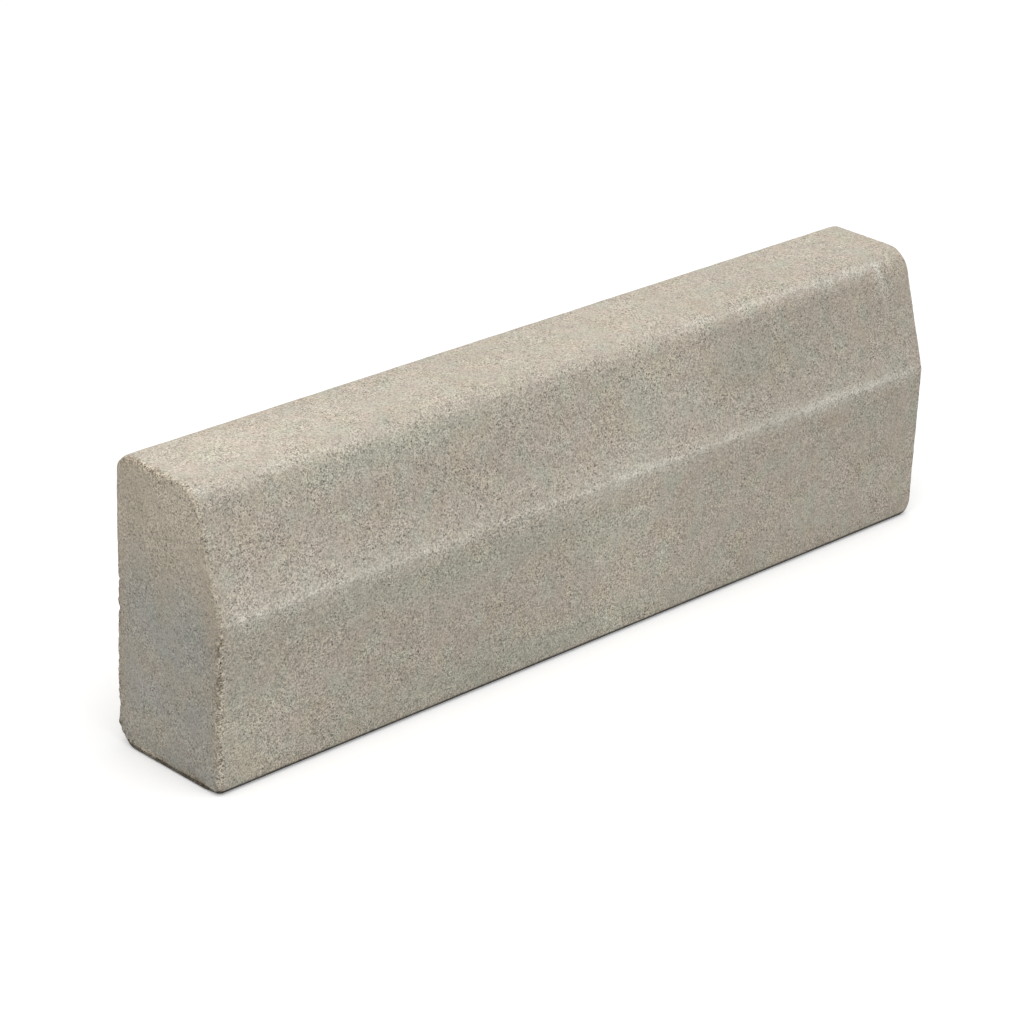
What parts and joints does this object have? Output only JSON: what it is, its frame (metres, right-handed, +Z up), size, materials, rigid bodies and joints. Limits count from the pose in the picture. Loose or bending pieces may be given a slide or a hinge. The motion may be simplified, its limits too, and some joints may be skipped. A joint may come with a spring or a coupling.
{
  "type": "concrete kerb stone",
  "caption": "Straight precast concrete road kerb with an upright lower face, a battered upper face, a rounded shoulder and a flat bed.",
  "frame": {"origin": "middle of the bed, level with the ground that the kerb stands on", "axes": "+X along the kerb, +Y from the road-side face to the back, +Z up"},
  "size_m": [1, 0.15, 0.3],
  "materials": {
    "concrete": "matt sandy cast concrete, warm grey with lighter cement along the shoulder and ridge"
  },
  "bodies": {
    "root": {"kerb_stone": "concrete"}
  },
  "joints": []
}
